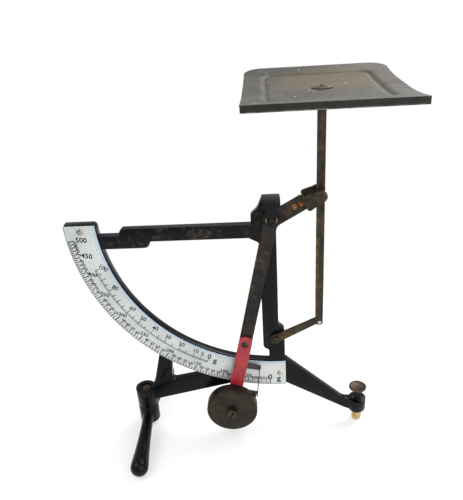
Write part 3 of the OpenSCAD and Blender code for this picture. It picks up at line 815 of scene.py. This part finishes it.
def makeTicks():
    wide = dialPrint["tickWide"]
    rim, line = dialPrint["outerRadius"], dialPrint["innerRadius"]
    bpy.ops.mesh.primitive_cube_add(size=1, location=onDial(dialAngle(0, dialOuter), rim - 0.002, 0.00001),
                                    scale=(wide, dialPrint["inkDepth"], 0.004))
    ticks = bpy.context.object
    ticks.name = "dialTicks"
    settle(ticks)
    editing(ticks)
    for grams in range(0, 501, 5):
        angle = dialAngle(grams, dialOuter)
        long = dialPrint["longTick"] if grams % 10 == 0 else dialPrint["shortTick"]
        if grams % 50 == 0:
            long += 0.0012
        addTick(angle, rim - long, rim, wide * (1.25 if grams % 50 == 0 else 1))
    for grams in [*range(0, 20), *range(20, 101, 5)]:
        angle = dialAngle(grams, dialInner)
        long = (dialPrint["highTick"] if grams % 10 == 0
                else dialPrint["midTick"] if grams % 5 == 0 else dialPrint["fineTick"])
        addTick(angle, line - long, line + (0.0006 if grams % 5 == 0 else 0), wide * 0.8)
    doneEditing()
    return ticks


def makeArcs():
    # two fine lines under the light range
    arcs = []
    start, end = dialAngle(0, dialInner), dialAngle(100, dialInner)
    for name, radius, wide, first, last in (
            ("arcLineA", dialPrint["innerRadius"], 0.0004, start, end),
            ("arcLineB", dialPrint["innerRadius"] + 0.0010, 0.00032, start, end)):
        bpy.ops.mesh.primitive_cube_add(size=1, location=onDial(first, radius, dialPrint["inkDepth"] / 2))
        arc = bpy.context.object
        arc.name = name
        arc.scale = (0.00002, dialPrint["inkDepth"], wide)
        arc.rotation_euler = (0, first, 0)
        settle(arc)
        # swept round the axle by spinning its end face
        towards = onDial(first + 0.1, radius) - onDial(first, radius)
        pickFaces(arc, lambda face: face.normal.dot(towards.normalized()) > 0.9)
        bpy.ops.mesh.spin(steps=90, angle=last - first, center=tuple(onDial(0, 0)), axis=(0, -1, 0))
        doneEditing()
        arcs.append(arc)
    return arcs


def addText(words, angle, radius, size, tilt, name):
    bpy.ops.object.text_add()
    text = bpy.context.object
    text.name = name
    text.data.body = words
    text.data.align_x = "CENTER"
    text.data.align_y = "CENTER"
    text.data.size = size
    text.data.extrude = dialPrint["inkDepth"] / 2
    text.data.resolution_u = 3
    text.data.offset = size * 0.022
    text.rotation_euler = (math.radians(90), tilt, 0)
    text.location = onDial(angle, radius, dialPrint["inkDepth"] / 2)
    makeActive(text)
    bpy.ops.object.convert(target="MESH")
    settle(text)
    return text


def makeNumbers():
    texts = []
    for grams in range(0, 501, 10):
        angle = dialAngle(grams, dialOuter)
        if grams % 50 == 0:
            tilt = math.radians(26) * math.sin(2 * angle)
            kind = "top" if grams >= dialPrint["topFrom"] else "mid" if grams else "zero"
            reach = dialPrint[kind + "Reach"] - dialPrint["swayReach"] * math.sin(angle)
            size = dialPrint["bigText" if kind == "top" else kind + "Text"]
            texts.append(addText(str(grams), angle, reach, size, tilt, "number" + str(grams)))
        elif grams > 40:
            texts.append(addText(str(grams % 100), angle, 0.1444, dialPrint["smallText"], angle * 0.62,
                                 "number" + str(grams)))
        else:
            texts.append(addText(str(grams), angle, 0.1440, dialPrint["smallText"] * 1.1, angle,
                                 "number" + str(grams)))
    for grams in (0, 5, 10, 20, 30, 40, 50, 60, 80, 100):
        angle = dialAngle(grams, dialInner)
        reach = 0.1312 if grams not in (0, 5) else 0.1318
        size = dialPrint["innerText" if grams else "innerZeroText"]
        texts.append(addText(str(grams), angle, reach, size, angle * 0.55,
                             "light" + str(grams)))
    texts.append(addText("g", math.radians(-0.9), 0.1440, 0.0074, 0, "gramMark"))
    texts.append(addText("g", math.radians(21.3), 0.1340, 0.0068, math.radians(14), "gramMarkLight"))
    return texts


def makePrint():
    pieces = [makeTicks(), *makeArcs(), *makeNumbers()]
    deselectAll()
    for piece in pieces:
        piece.select_set(True)
    bpy.context.view_layer.objects.active = pieces[0]
    bpy.ops.object.join()
    dialInk = bpy.context.object
    dialInk.name = "dialPrint"
    dress(dialInk, finishes["ink"])
    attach(dialInk, "stand")


makePrint()
print("dial printed")


indexMark = {"angle": 14.2, "radius": 0.1305, "size": 0.0017, "thick": 0.00008, "turn": 104,
             "proud": 0.00001, "stretch": (0.8, 1.5, 1)}


def makeIndexMark():
    # a small black triangle on the pointer's left edge, at the light range's ticks
    place = onDial(math.radians(indexMark["angle"]), indexMark["radius"])
    place.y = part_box("pointer")[0][1] - indexMark["proud"]
    bpy.ops.mesh.primitive_cylinder_add(vertices=3, radius=indexMark["size"], depth=indexMark["thick"],
                                        location=place,
                                        rotation=(math.radians(90), math.radians(indexMark["turn"]), 0))
    mark = bpy.context.object
    mark.name = "indexMark"
    mark.scale = indexMark["stretch"]
    settle(mark)
    dress(mark, finishes["black_paint"])
    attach(mark, "balance_beam")


makeIndexMark()
